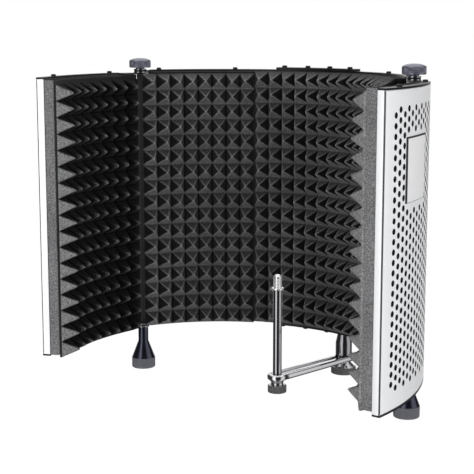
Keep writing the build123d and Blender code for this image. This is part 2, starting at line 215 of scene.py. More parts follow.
# ---------------------------------------------------------------- shader tools
class Graph:
    """Short calls for building a node tree; a value may be a number, a colour or a socket."""

    def __init__(self, tree):
        self.tree = tree
        self.coords = None

    def put(self, value, socket):
        if isinstance(value, bpy.types.NodeSocket):
            self.tree.links.new(value, socket)
        else:
            socket.default_value = (*value, 1.0) if isinstance(value, tuple) else value

    def fill(self, node, inputs):
        for key, value in inputs.items():
            self.put(value, node.inputs[key])

    def node(self, kind, inputs=None):
        node = self.tree.nodes.new("ShaderNode" + kind)
        self.fill(node, inputs or {})
        return node

    def noise(self, scale, detail, roughness):
        node = self.node("TexNoise", {"Scale": scale, "Detail": detail, "Roughness": roughness,
                                      "Vector": self.coords})
        return node.outputs["Fac"]

    def ramp(self, source, stops):
        """Grey ramp from (position, brightness) stops."""
        node = self.node("ValToRGB", {"Fac": source})
        elements = node.color_ramp.elements
        while len(elements) < len(stops):
            elements.new(0.5)
        for element, (position, grey) in zip(elements, stops):
            element.position = position
            element.color = (grey, grey, grey, 1.0)
        return node.outputs["Color"]

    def math(self, operation, *values):
        node = self.node("Math")
        node.operation = operation
        self.fill(node, dict(enumerate(values)))
        return node.outputs[0]

    def mix(self, mode, factor, first, second):
        node = self.node("Mix")
        node.data_type = "RGBA"
        node.blend_type = mode
        self.fill(node, {"Factor": factor, "A": first, "B": second})
        return node.outputs["Result"]

    def attribute(self, name):
        node = self.node("Attribute")
        node.attribute_name = name
        return node.outputs["Fac"]

    def bump(self, height, strength, distance):
        """distance is in metres."""
        node = self.node("Bump", {"Strength": strength, "Distance": distance, "Height": height})
        return node.outputs["Normal"]


def new_material(name):
    """Material, its graph and its surface shader."""
    mat = bpy.data.materials.new(name)
    mat.use_nodes = True
    return mat, Graph(mat.node_tree), mat.node_tree.nodes["Principled BSDF"]


PAINTED_LIT_FOAM_COLOR = (0.165, 0.165, 0.168)   # painted light: lighter foam colour for faces turned to the front light


def foam_mat(name, color, pyramid=False, gloss=1.0):
    """Grainy foam; pyramid foam also carries painted light and shade: its "edge" attribute scales
    the colour and its "front" attribute blends in the painted lit foam colour.
    """
    mat, graph, shader = new_material(name)
    graph.coords = graph.node("TexCoord").outputs["Object"]
    fine = graph.noise(scale=1250.0, detail=5.0, roughness=0.7)
    middle = graph.noise(scale=420.0, detail=3.0, roughness=0.6)
    big = graph.noise(scale=22.0, detail=2.0, roughness=0.5)
    cells = graph.node("TexVoronoi", {"Scale": 1150.0, "Vector": graph.coords})
    cells = cells.outputs["Distance"]
    pores = graph.ramp(cells, [(0.05, 0.5), (0.45, 1.15)])
    coarse = graph.noise(scale=640.0, detail=2.0, roughness=0.5)
    grain = graph.mix("MULTIPLY", 1.0, graph.ramp(fine, [(0.32, 0.6), (0.7, 1.4)]),
                      graph.ramp(coarse, [(0.36, 0.62), (0.64, 1.38)]))
    tone = graph.ramp(big, [(0.3, 0.86), (0.7, 1.14)])
    shade = graph.mix("MULTIPLY", 1.0, color, grain)
    shade = graph.mix("MULTIPLY", 0.8, shade, pores)
    shade = graph.mix("MULTIPLY", 1.0, shade, tone)
    # painted light and shade: "edge" scales the colour by slope, ridge and tip, and "front" blends
    # in the painted lit foam colour
    if pyramid:
        edge = graph.attribute("edge")
        grey = graph.node("CombineXYZ", dict.fromkeys("XYZ", edge))
        shade = graph.mix("MULTIPLY", 1.0, shade, grey.outputs["Vector"])
        front = graph.attribute("front")
        cut = graph.mix("MULTIPLY", 1.0, PAINTED_LIT_FOAM_COLOR, grain)
        shade = graph.mix("MIX", front, shade, cut)
    height = graph.math("ADD", fine, graph.math("MULTIPLY", middle, 0.8))
    height = graph.math("ADD", height, graph.math("MULTIPLY", cells, 0.9))
    graph.fill(shader, {
        "Base Color": shade, "Roughness": 0.95, "Specular IOR Level": 0.08 * gloss,
        "Sheen Weight": 0.05 * gloss, "Sheen Roughness": 0.6,
        "Normal": graph.bump(height, strength=0.6, distance=0.0006)})
    return mat


def plain_mat(name, color, rough, metallic, grain, scale, coat=0.0, smudge=0.06, spec=0.5):
    """Metal or paint: grain varies the tone at a noise scale, smudge varies the roughness."""
    mat, graph, shader = new_material(name)
    graph.coords = graph.node("TexCoord").outputs["Object"]
    big = graph.noise(scale=38.0, detail=4.0, roughness=0.6)
    fine = graph.noise(scale=scale, detail=3.0, roughness=0.6)
    tone = graph.ramp(fine, [(0.3, 1.0 - grain), (0.7, 1.0 + grain)])
    shade = graph.mix("MULTIPLY", 1.0, color, tone)
    gloss = graph.math("MULTIPLY_ADD", big, smudge * 2, rough - smudge)
    gloss = graph.math("ADD", gloss, graph.math("MULTIPLY", fine, 0.05))
    graph.fill(shader, {
        "Base Color": shade, "Roughness": gloss, "Metallic": metallic,
        "Specular IOR Level": spec, "Coat Weight": coat, "Coat Roughness": 0.08,
        "Normal": graph.bump(fine, strength=0.12 + grain, distance=0.00004)})
    return mat


# ---------------------------------------------------------------- materials
FOAM = foam_mat("foam_pyramids", (0.075, 0.075, 0.077), pyramid=True)
# painted shade: a darker copy of the pyramid foam for the left wing, which faces away from the
# light
FOAM_LEFT = foam_mat("foam_pyramids_shaded", (0.0215, 0.0215, 0.0225), pyramid=True, gloss=0.3)
# painted shade: a near-black copy of the foam for faces in shade, on the slabs and on the left
# sheet's rim
FOAM_DARK = foam_mat("foam_shaded", (0.013, 0.013, 0.0135))
# painted light: a lit copy of the foam, used on the right sheet's rim
FOAM_PAINTED_LIT = foam_mat("foam_painted_lit_face", PAINTED_LIT_FOAM_COLOR)
FOAM_SLAB = foam_mat("foam_slab", (0.130, 0.130, 0.133))
# painted shade: near-black back of the slab, seen through the shell's holes
FOAM_BACK = plain_mat("foam_back_black", (0.006, 0.006, 0.006), rough=0.95, metallic=0.0,
                      grain=0.3, scale=900.0, spec=0.05)
SILVER = plain_mat("silver_sheet", (0.90, 0.905, 0.92), rough=0.46, metallic=0.30,
                   grain=0.03, scale=2600.0, smudge=0.05)
# painted shade: near black on the sheet's inside, its hole walls and the inner rim
SILVER_IN = plain_mat("silver_sheet_inside", (0.010, 0.010, 0.011), rough=0.7, metallic=0.0,
                      grain=0.05, scale=2600.0, spec=0.1)
# painted shade: dark line on the bends at the shell's ends and on the rim's edge
BEND_SHADE = plain_mat("corner_painted_shade", (0.05, 0.05, 0.052), rough=0.6, metallic=0.0,
                   grain=0.05, scale=2600.0, spec=0.2)
BLACK = plain_mat("black_gloss_metal", (0.010, 0.010, 0.012), rough=0.30, metallic=0.0,
                  grain=0.25, scale=2200.0, smudge=0.07, spec=0.22)
BLACK_SCREW = plain_mat("black_screw", (0.010, 0.010, 0.011), rough=0.30, metallic=0.4,
                        grain=0.2, scale=3000.0)
KNOB = plain_mat("knob_knurl", (0.21, 0.215, 0.265), rough=0.30, metallic=0.85,
                 grain=0.25, scale=1500.0)
FOOT = plain_mat("foot_gloss", (0.045, 0.048, 0.075), rough=0.14, metallic=0.9,
                 grain=0.05, scale=2500.0, coat=0.5, smudge=0.04)
FOOT_KNURL = plain_mat("foot_knurl", (0.22, 0.225, 0.25), rough=0.45, metallic=0.8,
                       grain=0.25, scale=1500.0)
NUT = plain_mat("nut_gloss", (0.50, 0.50, 0.51), rough=0.16, metallic=1.0,
                grain=0.05, scale=2500.0, smudge=0.05)
NUT_KNURL = plain_mat("nut_knurl", (0.17, 0.17, 0.175), rough=0.5, metallic=0.75,
                      grain=0.3, scale=1500.0)
CHROME = plain_mat("chrome", (0.40, 0.40, 0.42), rough=0.10, metallic=1.0,
                   grain=0.02, scale=2500.0, smudge=0.04)
# painted shade: a darker copy of the chrome for the stand post, hinge washers, post screw and arm
# stud, which sit in shade
SHADED_CHROME = plain_mat("chrome_painted_shade", (0.33, 0.33, 0.35), rough=0.13, metallic=1.0,
                        grain=0.03, scale=2500.0, smudge=0.05)
# painted light: a brighter copy of the chrome for the arm, standing for the light it reflects from
# above
ARM_CHROME = plain_mat("arm_chrome", (0.66, 0.66, 0.68), rough=0.10, metallic=1.0,
                       grain=0.02, scale=2500.0, smudge=0.04)
BRIGHT = plain_mat("bright_steel", (0.86, 0.86, 0.86), rough=0.20, metallic=0.85,
                   grain=0.06, scale=1800.0)
RUBBER = plain_mat("washer_black", (0.012, 0.012, 0.012), rough=0.6, metallic=0.0,
                   grain=0.3, scale=1500.0)
BADGE = plain_mat("badge_blank", (0.93, 0.93, 0.94), rough=0.42, metallic=0.25,
                  grain=0.03, scale=2600.0, smudge=0.04)
# painted shade: dark side walls and border of the raised badge plate
BADGE_EDGE_SHADE = plain_mat("badge_edge_painted_shade", (0.01, 0.01, 0.01), rough=0.5, metallic=0.0,
                       grain=0.2, scale=2000.0)

# ---------------------------------------------------------------- pyramid foam
COLUMNS, ROWS, PITCH = 8, 17, 17.5
CELL_STEPS = 12 if FINE else 6      # lattice steps across a pyramid

# Painted light and shade on the pyramids, as colour factors: upward, downward and sideways slopes,
# painted highlights on the ridges (fading with the given power of the height, 0 for a linear fade),
# the top row's upper slopes, lit from above, and painted highlights on the tips.
PaintedShading = namedtuple("PaintedShading", "up down side ridge ridge_power top_row tip tip_width")
LIT = PaintedShading(up=0.56, down=1.32, side=0.04, ridge=1.9, ridge_power=0,
            top_row=1.9, tip=0.5, tip_width=0.12)
# SHADED, for the left wing: painted shade with painted highlights at the tips
SHADED = PaintedShading(up=0.17, down=0.06, side=0.12, ridge=3.6, ridge_power=3,
               top_row=5.2, tip=3.6, tip_width=0.20)

# Limit at the hinge side: the height stays under a bevel that rises by rise (mm) over run (mm),
# and the last column's pyramids shrink by a share.
Envelope = namedtuple("Envelope", "rise run shrink")


def pyramid_tones(tones, across, upward, spread, height, row):
    """Painted light and shade at each lattice point, kept in the "edge" attribute."""
    crease = np.abs(across) - np.abs(upward)    # 0 on the ridges
    side = np.clip(crease / 0.13 + 0.5, 0, 1)
    slope = np.where(upward > 0, tones.up * (0.62 + 0.6 * np.clip(1 - spread, 0, 1)), tones.down)
    slope = slope * np.where((row == ROWS - 1) & (upward > 0), tones.top_row, 1.0)
    if tones.ridge_power:
        fade = np.clip(height, 0.02, 1) ** tones.ridge_power
    else:
        fade = np.clip(height * 1.9, 0.12, 1)
    return ((1 - side) * slope + side * tones.side
            + tones.ridge * np.exp(-(crease / 0.10) ** 2) * fade
            + tones.tip * np.exp(-(spread / tones.tip_width) ** 2))


def pyramids(name, place, start, end, z_top, face, body, node, seed, curl=None, skin=3.0,
             amp=16.7, mats=(FOAM, FOAM_PAINTED_LIT), rim_slot=0, tail=0.0, tones=LIT, taper=None,
             envelope=None, sink=0.0, low_lift=0.0):
    """Pyramid sheet standing on the radius face, from angle start to angle end.

    skin, amp: sheet thickness under the pyramids and pyramid height
    rim_slot: material of the sheet's rim; unless 0 the free edge's slopes take the painted lit
    colour
    tail: degrees added at the end line; taper: the hinge side, "hi" is end and "lo" is start
    sink: depth of the back behind face; low_lift: upward shift of the lower rows
    """
    draw = np.random.RandomState(seed)
    nu, nv = COLUMNS * CELL_STEPS, ROWS * CELL_STEPS
    u, v = np.meshgrid(np.linspace(0, COLUMNS, nu + 1), np.linspace(0, ROWS, nv + 1),
                       indexing="ij")
    column = np.clip(u.astype(int), 0, COLUMNS - 1)
    row = np.clip(v.astype(int), 0, ROWS - 1)

    def per_cell(low, high):
        return draw.uniform(low, high, (COLUMNS, ROWS))[column, row]

    # position in the cell, -1..1 with the tip at 0; every tip is a little off centre
    cell_u, cell_v = 2 * (u - column) - 1, 2 * (v - row) - 1
    tip_u, tip_v = per_cell(-0.07, 0.07), per_cell(-0.08, 0.08)
    scale = 1 + per_cell(-0.045, 0.03)
    across = (cell_u - tip_u) / np.where(cell_u > tip_u, 1 - tip_u, 1 + tip_u)
    upward = (cell_v - tip_v) / np.where(cell_v > tip_v, 1 - tip_v, 1 + tip_v)
    square = 18.0       # power that squares off the cross-section
    spread = (np.abs(across) ** square + np.abs(upward) ** square) ** (1 / square)
    shape = 1.0 - np.sqrt(spread * spread + 0.055 ** 2)
    shape = np.sqrt(np.clip(shape, 0, None) ** 2 + 0.03 ** 2) - 0.02
    # painted light and shade for each lattice point
    edge = pyramid_tones(tones, across, upward, spread, shape, row)

    # the skin thins over the last half column so that folded sheets clear each other
    if taper:
        from_hinge = COLUMNS - u if taper == "hi" else u
        thin = np.clip((0.5 - from_hinge) * 2, 0, 1)
        last = (u > COLUMNS - 0.999) if taper == "hi" else (u < 0.999)
    else:
        thin, last = np.zeros_like(u), np.zeros_like(u, bool)
    shrink = envelope.shrink if envelope else 0
    height = np.maximum(skin * (1 - 0.86 * thin) + amp * shape * scale * (1 - shrink * last), 0.36)
    angle = start + (end - start) * u / COLUMNS
    z = (z_top - ROWS * PITCH + PITCH * v
         + low_lift * np.clip(1 - v / 8.5, 0, 1) * (v > 1e-6))
    spots = np.c_[angle.ravel() * 2, z.ravel(), height.ravel()] * np.array([3.0, 1, 1])
    soft = value_noise(spots, 5.0, seed + 3) * 0.28 + value_noise(spots, 1.6, seed + 5) * 0.16
    height = height + (soft.reshape(height.shape) * np.clip(shape * 6, 0, 1)
                       * np.where(last, 0.4, 1.0))
    if envelope:
        gap = end - angle if taper == "hi" else angle - start
        run = math.degrees(envelope.run / (face - envelope.rise))
        height = np.minimum(height, np.maximum(envelope.rise * gap / run - 0.3, 0.3))
    wobble = value_noise(np.c_[z.ravel(), np.zeros(z.size), angle.ravel()], 21.0, seed + 9)
    angle = angle + (np.degrees(0.35 * wobble.reshape(height.shape) / face)
                     * (np.minimum(u, COLUMNS - u) > 0.01))
    angle = angle + tail * (u > COLUMNS - 1e-6)
    curled = curl(u / COLUMNS, v / ROWS) if curl else np.zeros_like(u)
    height = height + curled

    b = Build()
    ids = b.add(on_arc(place, face - height, angle, z)).reshape(nu + 1, nv + 1)
    for i in range(nu):
        for j in range(nv):
            p, q, r, s = ids[i, j], ids[i + 1, j], ids[i + 1, j + 1], ids[i, j + 1]
            # triangles split along the ridges
            if (cell_u[i, j] + cell_u[i + 1, j]) * (cell_v[i, j] + cell_v[i, j + 1]) >= 0:
                triangles = ((p, q, r), (p, r, s))
            else:
                triangles = ((p, q, s), (q, r, s))
            for triangle in triangles:
                b.face(*triangle)
    rim = tuple(border(nu, nv))
    back = b.add(on_arc(place, face - (0.2 - sink + curled)[rim], angle[rim], z[rim]))
    b.bridge(back, ids[rim], slot=rim_slot)
    # the back is closed by one strip per lattice column
    at = dict(zip(zip(*rim), back))
    for i in range(nu):
        near = [at[i, j] for j in (range(nv + 1) if i == 0 else (0, nv))]
        far = [at[i + 1, j] for j in (range(nv + 1) if i == nu - 1 else (0, nv))]
        b.face(*(near + far[::-1]))
    ob = make(name, b, mats, body, node, b.slots, angle=180.0)
    # painted light: the free-end slopes of the first column get the lit foam colour through
    # "front"; rim and back get an even 0.5 in "edge"
    rest = b.count - edge.size
    front = np.zeros_like(edge)
    if rim_slot:
        front = np.clip((-across - np.abs(upward)) / 0.16 + 0.5, 0, 1) * (u < 1.0)
    attribute(ob, "edge", np.r_[edge.ravel(), np.full(rest, 0.5)])
    attribute(ob, "front", np.r_[front.ravel(), np.zeros(rest)])
    ob.visible_glossy = False


def curl_corner(u, v):
    """Lifts the sheet's lower corner at its start."""
    near = np.clip(1 - np.hypot(u * 6.0, v * 14.0), 0, 1)
    return 2.5 * near * near


def centre_sheets():
    half, seam = 64.0, 0.18         # half the sweep and half a seam, degrees
    third = 2 * half / 3
    bevel = Envelope(rise=18.6, run=8.4, shrink=0.15)
    pyramids("centre_pyramids_left", centre_map, -half, -half + third - seam, 353.0,
             CENTRE_FRONT, "centre", "centre_foam_left", seed=11, taper="lo", envelope=bevel)
    pyramids("centre_pyramids_mid", centre_map, -half + third + seam, -half + 2 * third - seam,
             355.4, CENTRE_FRONT, "centre", "centre_foam_mid", seed=23, curl=curl_corner)
    pyramids("centre_pyramids_right", centre_map, -half + 2 * third + seam, half, 355.4,
             CENTRE_FRONT, "centre", "centre_foam_right", seed=37, taper="hi", envelope=bevel)


def wing_sheet(side, z_top, seed, **look):
    front = WING_FRONT[side]
    pyramids(side + "_wing_pyramids", wing_map(side), WING_FREE + math.degrees(0.5 / front),
             WING_SHEET_END, z_top, front, side + "_wing", side + "_foam_pyramids", seed,
             tail=0.9, taper="hi", **look)


centre_sheets()
# left wing: painted shade, with its sheet rim in the painted-shade foam
wing_sheet("left", z_top=347.0, seed=41, skin=2.6, amp=19.2, rim_slot=2, tones=SHADED,
           mats=(FOAM_LEFT, FOAM_PAINTED_LIT, FOAM_DARK),
           envelope=Envelope(rise=20.5, run=9.5, shrink=0.08))
wing_sheet("right", z_top=350.8, seed=53, skin=2.0, amp=20.7, rim_slot=1, sink=0.8, low_lift=7.0,
           envelope=Envelope(rise=21.3, run=9.5, shrink=0.08))

# ---------------------------------------------------------------- foam slabs
SLAB_STEP = 9.0     # depth of the narrower part that sits inside the shell


def slab(name, place, inner, outer, start, end, z_low, body, node, seed, lift=0.0,
         lit_end=True):
    """Foam slab between two radii, in painted light and shade: with lit_end its start end keeps the
    slab colour as if lit, other exposed faces take the painted-shade foam and the back takes the
    near-black foam.
    """
    lift_end = end - math.degrees(19.9 / outer)

    def surface(angle, z, radius):
        spots = np.c_[angle * 4.0, z, radius]
        rough = value_noise(spots, 6.0, seed) * 0.22 + value_noise(spots, 1.8, seed + 1) * 0.16
        wide = radius < outer - SLAB_STEP - 0.1
        at_start = np.abs(angle - start) < np.abs(angle - end)
        half_h = PANEL_H / 2
        lifted = ((radius < outer - SLAB_STEP + 0.1) * (angle < lift_end)
                  * (np.abs(z - z_low - half_h) > 120))
        return on_arc(
            place, radius + np.where(radius < inner + 2.0, rough, 0),
            angle + np.degrees(np.where(at_start, rough, -rough) / outer) * wide,
            z + np.where(z < z_low + half_h, rough, -rough) * 0.6 * wide + lift * lifted)

    def layer(radius, inset, inset_z):
        turn = math.degrees(inset / radius)
        return (radius, start + turn, end - turn, z_low + inset_z, z_low + PANEL_H - inset_z)

    step = outer - SLAB_STEP
    layers = [layer(inner, 1.3, 1.3), layer(inner + 0.25, 0.75, 0.8),
              layer(inner + 0.8, 0.35, 0.45)]
    layers += [layer(radius, 0.2, 0.25)
               for radius in np.linspace(inner + 1.6, step - 0.6, 9 if FINE else 4)]
    layers += [layer(step, 0.6, 0.7), layer(step, 1.45, 1.45), layer(outer - 1.35, 1.45, 1.45)]
    span = math.radians(end - start) * outer
    b = Build()
    block(b, surface, np.linspace(0, 1, int(span / (3.0 if FINE else 8.0))),
          np.linspace(0, 1, 121 if FINE else 41), layers)

    points = b.points()
    axis = np.array(place(0.0, 0.0))
    slots = []
    for face in b.faces:
        corners = points[list(face)][:, :2].T
        radii = np.hypot(corners[0] - axis[0], corners[1] - axis[1])
        off_end = np.hypot(*(np.array(place(radii, start)) - corners)).max()
        # slot 1, the back: near-black painted shade; slot 0, the start end with lit_end: the slab
        # colour as lit; slot 2, every other face: painted shade
        if radii[0] > outer - SLAB_STEP + 0.1:
            slots.append(1)
        else:
            slots.append(0 if lit_end and off_end < 2.2 else 2)
    ob = make(name, b, [FOAM_SLAB, FOAM_BACK, FOAM_DARK], body, node, slots, angle=60.0)
    ob.visible_glossy = False


slab("centre_slab", centre_map, CENTRE_FRONT, CENTRE_OUT, -CENTRE_END, CENTRE_END, CENTRE_Z,
     "centre", "centre_foam_slab", seed=61, lit_end=False)
for side, seed in (("left", 67), ("right", 71)):
    slab(side + "_slab", wing_map(side), WING_FRONT[side], WING_OUT, WING_FREE, WING_END, WING_Z,
         side + "_wing", side + "_foam_slab", seed, lift=WING_LIFT[side])

# ---------------------------------------------------------------- perforated shells
HOLE_R, HOLE_ROWS = 3.0, 28
COLUMN_PITCH, ROW_PITCH = 9.333, 9.667
FIELD_TOP = 286.43                  # top of the hole field above the panel's bottom
SHELL_T, BEND_R, RIM_DEPTH = 1.2, 1.5, 8.8


def lattice_line(low, field_low, field_high, high, cells):
    """Lattice coordinates: a plain margin, four steps per hole cell, a plain margin."""
    return np.r_[np.linspace(low, field_low, 5)[:-1],
                 np.linspace(field_low, field_high, cells * 4 + 1),
                 np.linspace(field_high, high, 5)[1:]]


def shell(name, place, radius, start, end, z_low, columns, first_hole, body, node, blank=None):
    """Sheet shell with staggered holes and turned-in rims.

    first_hole is measured along the arc; blank is a window (arc low, high, z low, high)
    without holes.
    """
    length = math.radians(end - start) * radius
    z_high = z_low + PANEL_H
    field_start = first_hole - COLUMN_PITCH / 2
    field_top = z_low + FIELD_TOP
    arc = lattice_line(BEND_R, field_start, field_start + columns * COLUMN_PITCH,
                       length - BEND_R, columns)
    heights = lattice_line(z_low + BEND_R, field_top - HOLE_ROWS * ROW_PITCH, field_top,
                           z_high - BEND_R, HOLE_ROWS)
    nu, nv = len(arc) - 1, len(heights) - 1
    open_points = np.zeros((nu + 1, nv + 1), bool)
    open_faces = np.zeros((nu, nv), bool)
    holes = []
    for k in range(columns):
        odd = k % 2 == 1        # even columns sit half a row higher, with one hole fewer
        for j in range(HOLE_ROWS if odd else HOLE_ROWS - 1):
            i0, j0 = 4 + 4 * k, 4 + 4 * j + (0 if odd else 2)
            s, z = arc[i0 + 2], heights[j0 + 2]
            if blank and blank[0] < s < blank[1] and blank[2] < z < blank[3]:
                continue
            open_faces[i0:i0 + 4, j0:j0 + 4] = True
            open_points[i0 + 1:i0 + 4, j0 + 1:j0 + 4] = True
            holes.append((i0, j0, s, z))

    b = Build()

    def put(s, z, r):
        return b.add(on_arc(place, r, start + np.degrees(s / radius), z))

    # outer and inner skin
    grid_s, grid_z = np.meshgrid(arc, heights, indexing="ij")
    skins = []
    for r in (radius, radius - SHELL_T):
        ids = np.full((nu + 1, nv + 1), -1)
        ids[~open_points] = put(grid_s[~open_points], grid_z[~open_points], r)
        skins.append(ids)
    # the inner skin takes slot 1, the painted-shade inside
    for skin, ids in enumerate(skins):
        for i in range(nu):
            for j in range(nv):
                if not open_faces[i, j]:
                    quad = (ids[i, j], ids[i + 1, j], ids[i + 1, j + 1], ids[i, j + 1])
                    b.face(*(quad if skin == 0 else quad[::-1]), slot=skin)

    # holes: 32-point circles joined to the 16 points round each cell
    cell_i, cell_j = border(4, 4)
    turn = np.radians(-135 + 11.25 * np.arange(32))
    for i0, j0, s, z in holes:
        circles = [put(s + HOLE_R * np.cos(turn), z + HOLE_R * np.sin(turn), r)
                   for r in (radius, radius - SHELL_T)]
        for skin, (ids, circle) in enumerate(zip(skins, circles)):
            cell = ids[i0 + cell_i, j0 + cell_j]
            for k in range(16):
                quad = (cell[k], cell[(k + 1) % 16], circle[(2 * k + 2) % 32], circle[2 * k + 1])
                triangle = (cell[k], circle[2 * k + 1], circle[2 * k])
                for ids_of in (quad, triangle):
                    b.face(*(ids_of if skin == 0 else ids_of[::-1]), slot=skin)
        b.bridge(circles[0], circles[1], slot=1)

    edge = tuple(border(nu, nv))
    edge_s, edge_z = arc[edge[0]], heights[edge[1]]
    at_start, at_end = edge_s <= BEND_R + 1e-6, edge_s >= length - BEND_R - 1e-6
    at_low, at_high = edge_z <= z_low + BEND_R + 1e-6, edge_z >= z_high - BEND_R - 1e-6

    def rim(inset, r):
        return put(np.where(at_start, inset, np.where(at_end, length - inset, edge_s)),
                   np.where(at_low, z_low + inset, np.where(at_high, z_high - inset, edge_z)), r)

    # rounded bend; at the two ends its faces past the first step are painted shade (slot 2)
    previous = skins[0][edge]
    for degrees in (18, 36, 54, 72, 90):
        bend = math.radians(degrees)
        ring = rim(BEND_R * (1 - math.sin(bend)), radius - BEND_R * (1 - math.cos(bend)))
        for k in range(len(ring)):
            j = (k + 1) % len(ring)
            on_end = (at_start[k] and at_start[j]) or (at_end[k] and at_end[j])
            b.face(ring[k], ring[j], previous[j], previous[k],
                   slot=2 if on_end and degrees > 20 else 0)
        previous = ring
    # rim down, across its edge and back up inside: (inset, radius, slot)
    # slot 2 on the rim's edge is painted shade
    rim_r = radius - RIM_DEPTH
    for inset, r, slot in ((0.0, rim_r + 0.3, 0), (0.15, rim_r, 2), (SHELL_T - 0.15, rim_r, 2),
                           (SHELL_T, rim_r + 0.3, 1), (SHELL_T, radius - SHELL_T - 0.35, 1)):
        ring = rim(inset, r)
        b.bridge(ring, previous, slot=slot)
        previous = ring
    b.bridge(skins[1][edge], previous, slot=1)
    ob = make(name, b, [SILVER, SILVER_IN, BEND_SHADE], body, node, b.slots,
              angle=50.0)
    ob.visible_glossy = False


shell("centre_perforated_shell", centre_map, CENTRE_OUT, -CENTRE_END, CENTRE_END, CENTRE_Z,
      columns=42, first_hole=15.7 + COLUMN_PITCH / 2, body="centre", node="centre_shell")
for side, _ in SIDES:
    shell(side + "_perforated_shell", wing_map(side), WING_OUT, WING_FREE, WING_END, WING_Z,
          columns=15, first_hole=19.5, body=side + "_wing", node=side + "_shell",
          blank=(41.0, 101.0, 242.0, 312.0) if side == "right" else None)


# ---------------------------------------------------------------- blank badge plate
def badge():
    """Thin plate on the right wing's shell; its side walls and a line on three sides of its face
    are painted dark as shade at the raised edge.
    """
    place = wing_map("right")
    s0, s1, z0, z1 = 42.0, 100.0, 246.0, 308.0     # extent along the arc and in z

    def surface(s, z, radius):
        return on_arc(place, radius, WING_FREE + np.degrees(s / WING_OUT), z)

    def layer(rise, inset):
        return (WING_OUT + rise, s0 + inset, s1 - inset, z0 + inset, z1 - inset)

    us = np.r_[0, 2.6 / 57, np.linspace(2.9 / 57, 1 - 0.9 / 57, 25), 1 - 0.7 / 57, 1]
    vs = np.r_[0, np.linspace(0.4 / 61, 1 - 1.3 / 61, 17), 1 - 1.1 / 61, 1]
    nu, nv = len(us) - 1, len(vs) - 1
    b = Build()
    block(b, surface, us, vs, [layer(0.85, 0.5), layer(0.75, 0.15), layer(0.5, 0), layer(0.01, 0)])
    # painted shade on the plate's sides and back and on three sides of its face
    slots = [1] * len(b.faces)
    for k in range(nu * nv):        # the face comes first
        i, j = divmod(k, nv)
        slots[k] = 1 if i < 1 or i > nu - 2 or j > nv - 2 else 0
    make("badge_blank_plate", b, [BADGE, BADGE_EDGE_SHADE], "right_wing", "badge_plate",
         slots, angle=40.0, flip=True)


badge()

# ---------------------------------------------------------------- turned pieces
# Cut zones between two heights; step is the spacing of the rings inside them.
Knurl = namedtuple("Knurl", "low high starts depth step")
Thread = namedtuple("Thread", "low high pitch depth step")


def turned_rows(profile, zone, knurl_rows):
    """Profile as (radius, z, slot), with extra rows where a side runs inside the zone."""
    rows = []
    for k, (r, z) in enumerate(profile):
        slot = int(k < knurl_rows)
        rows.append((r, z, slot))
        if not zone or k + 1 == len(profile):
            continue
        next_r, next_z = profile[k + 1]
        inside = min(z, next_z) >= zone.low - 0.01 and max(z, next_z) <= zone.high + 0.01
        if inside and abs(next_z - z) > 1:
            n = max(2, int(abs(next_z - z) / zone.step))
            rows += [(r + (next_r - r) * t / n, z + (next_z - z) * t / n, slot)
                     for t in range(1, n)]
    return rows


def cut_radii(r, z, turn, knurl, thread):
    """Radii round one ring, with crossed knurl grooves or a thread cut in."""
    radii = np.full(len(turn), float(r))
    if knurl and knurl.low < z < knurl.high:
        lead = 2 * math.pi * r / knurl.starts
        fade = min(1.0, (z - knurl.low) / 0.5, (knurl.high - z) / 0.5)
        for hand in (1, -1):
            phase = np.mod(knurl.starts * turn / (2 * math.pi) + hand * (z - knurl.low) / lead, 1.0)
            groove = np.clip(1 - np.abs(phase - 0.5) / 0.32, 0, 1)
            radii = np.minimum(radii, r - knurl.depth * fade * groove)
    if thread and thread.low < z < thread.high:
        phase = np.mod((z - thread.low) / thread.pitch - turn / (2 * math.pi), 1.0)
        fade = min(1.0, (z - thread.low) / 0.8, (thread.high - z) / 1.2)
        radii = radii - thread.depth * fade * np.abs(2 * phase - 1)
    return radii


def turned(name, profile, at, mats, body, node, segments=96, knurl=None, thread=None,
           knurl_rows=0, closed=False):
    """Turned shape from (radius, z) points, bottom to top on the outside.

    Ends on the axis close with a fan; closed joins the last point to the first. The first
    knurl_rows profile rows take material slot 1.
    """
    if not FINE:
        knurl = thread = None
    if knurl:
        segments = knurl.starts * 6
    turn = np.arange(segments) * 2 * math.pi / segments
    b = Build()
    rings = []
    for r, z, mat_slot in turned_rows(profile, knurl or thread, knurl_rows):
        if r < 1e-6:
            ring = b.add([[at[0], at[1], z]])
        else:
            radii = cut_radii(r, z, turn, knurl, thread)
            ring = b.add(np.c_[at[0] + radii * np.cos(turn), at[1] + radii * np.sin(turn),
                               np.full(segments, float(z))])
        rings.append((ring, mat_slot))
    pairs = list(zip(rings[:-1], rings[1:]))
    if closed:
        pairs.append((rings[-1], rings[0]))
    for (low, mat_slot), (high, _) in pairs:
        if len(low) == 1:
            for k in range(segments):
                b.face(low[0], high[(k + 1) % segments], high[k], slot=mat_slot)
        elif len(high) == 1:
            for k in range(segments):
                b.face(low[k], low[(k + 1) % segments], high[0], slot=mat_slot)
        else:
            b.bridge(low, high, slot=mat_slot)
    make(name, b, mats, body, node, b.slots)


